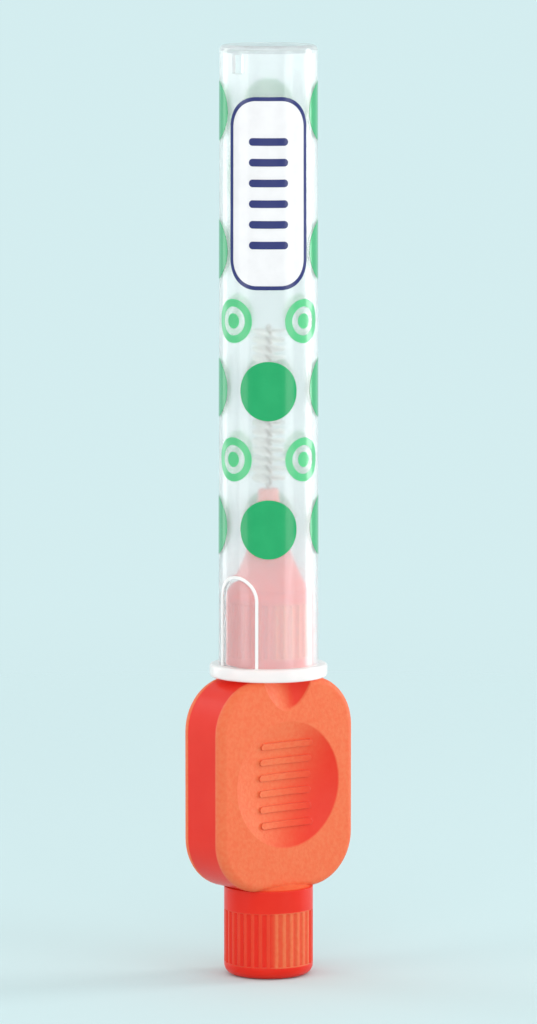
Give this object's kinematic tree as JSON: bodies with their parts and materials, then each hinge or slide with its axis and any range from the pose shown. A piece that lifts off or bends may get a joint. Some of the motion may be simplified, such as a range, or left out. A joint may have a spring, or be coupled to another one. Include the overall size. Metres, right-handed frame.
{
  "type": "interdental brush",
  "caption": "Interdental brush: ribbed plastic grip with a finger pad, a twisted wire brush of fine bristles, and a clear cap that pulls off.",
  "frame": {"origin": "centre of the flat end of the lower collar, on which the brush stands", "axes": "+Z along the brush towards the cap's closed end, +X across the pad's width, +Y through its thickness"},
  "size_m": [0.011, 0.0078, 0.0616],
  "materials": {
    "grip_plastic": "satin red polypropylene with fine grain on the pad",
    "wire_steel": "thinly coated stainless wire",
    "filament": "off-white nylon",
    "cap_plastic": null
  },
  "bodies": {
    "brush": {"handle": "grip_plastic", "twisted_wire": "wire_steel", "bristles": "filament"},
    "cap": {"cap": "cap_plastic"}
  },
  "joints": [
    {"name": "cap_slide", "type": "slide", "parent": "brush", "child": "cap", "axis": [0, 0, 1], "range_m": [0, 0.03]}
  ]
}
